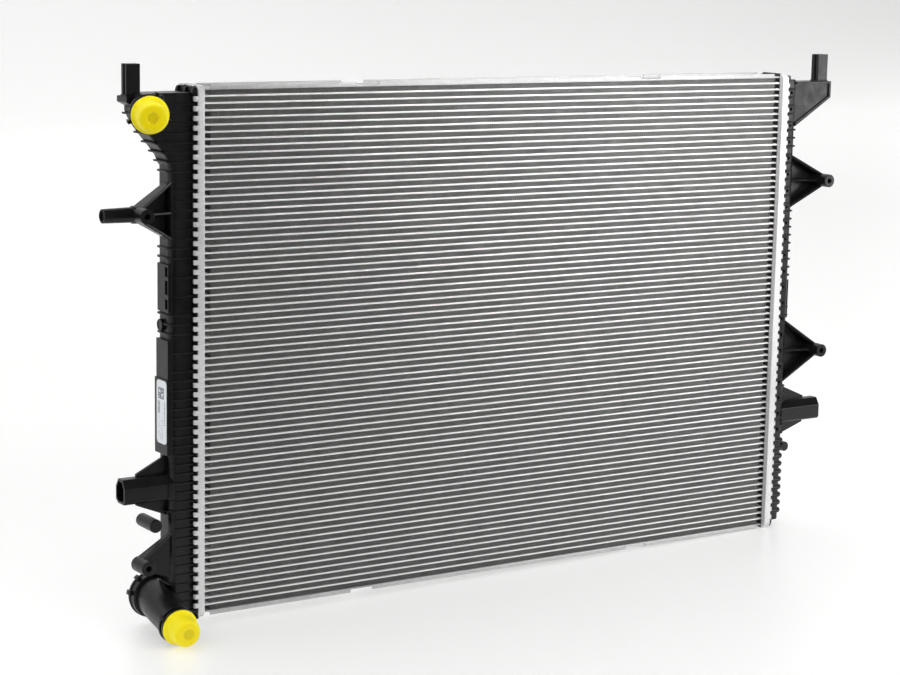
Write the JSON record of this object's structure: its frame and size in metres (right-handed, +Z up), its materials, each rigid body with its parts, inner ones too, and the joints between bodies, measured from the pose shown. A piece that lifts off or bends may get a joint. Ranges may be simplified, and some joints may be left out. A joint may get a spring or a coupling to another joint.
{
  "type": "car radiator",
  "caption": "Cross-flow car radiator: brazed aluminium tube-and-fin core, crimped plastic side tanks with pins, screw bosses and sockets, hose ports with pull-off caps.",
  "frame": {"origin": "middle of the bottom side plate's lower flat face, half-way between the header plates and at the core's mid-depth", "axes": "+X along the tubes, from the tank with the ports to the other tank; -Y the front, the side the ports point to; +Z up"},
  "size_m": [0.8163, 0.0983, 0.4991],
  "materials": {
    "core_aluminium": "brazed, matt silver grey",
    "rim_aluminium": "pressed sheet, satin",
    "gasket_rubber": "matt",
    "tank_plastic": "glass-filled nylon, semi-matt",
    "cap_yellow": "soft polythene, satin",
    "label_paper": "printed film, semi-gloss"
  },
  "bodies": {
    "radiator": {"bottom_fin_row": "core_aluminium", "tube_pair_01": "core_aluminium", "tube_pair_02": "core_aluminium", "tube_pair_03": "core_aluminium", "tube_pair_04": "core_aluminium", "tube_pair_05": "core_aluminium", "tube_pair_06": "core_aluminium", "tube_pair_07": "core_aluminium", "tube_pair_08": "core_aluminium", "tube_pair_09": "core_aluminium", "tube_pair_10": "core_aluminium", "tube_pair_11": "core_aluminium", "tube_pair_12": "core_aluminium", "tube_pair_13": "core_aluminium", "tube_pair_14": "core_aluminium", "tube_pair_15": "core_aluminium", "tube_pair_16": "core_aluminium", "tube_pair_17": "core_aluminium", "tube_pair_18": "core_aluminium", "tube_pair_19": "core_aluminium", "tube_pair_20": "core_aluminium", "tube_pair_21": "core_aluminium", "tube_pair_22": "core_aluminium", "tube_pair_23": "core_aluminium", "tube_pair_24": "core_aluminium", "tube_pair_25": "core_aluminium", "tube_pair_26": "core_aluminium", "tube_pair_27": "core_aluminium", "tube_pair_28": "core_aluminium", "tube_pair_29": "core_aluminium", "tube_pair_30": "core_aluminium", "tube_pair_31": "core_aluminium", "tube_pair_32": "core_aluminium", "tube_pair_33": "core_aluminium", "tube_pair_34": "core_aluminium", "tube_pair_35": "core_aluminium", "tube_pair_36": "core_aluminium", "tube_pair_37": "core_aluminium", "top_side_plate": "rim_aluminium", "bottom_side_plate": "rim_aluminium", "left_header_plate": "rim_aluminium", "right_header_plate": "rim_aluminium", "left_header_gasket": "gasket_rubber", "right_header_gasket": "gasket_rubber", "left_tank": "tank_plastic", "right_tank": "tank_plastic", "left_mount_socket": "tank_plastic", "right_mount_socket": "tank_plastic", "inlet_port": "tank_plastic", "outlet_elbow": "tank_plastic", "part_label": "label_paper"},
    "inlet_cap_body": {"inlet_cap": "cap_yellow"},
    "outlet_cap_body": {"outlet_cap": "cap_yellow"}
  },
  "joints": [
    {"name": "inlet_cap_pull", "type": "slide", "parent": "radiator", "child": "inlet_cap_body", "axis": [-0.2971, -0.9502, -0.094], "range_m": [0, 0.04]},
    {"name": "outlet_cap_pull", "type": "slide", "parent": "radiator", "child": "outlet_cap_body", "axis": [0, -0.9914, -0.1305], "range_m": [0, 0.04]}
  ]
}
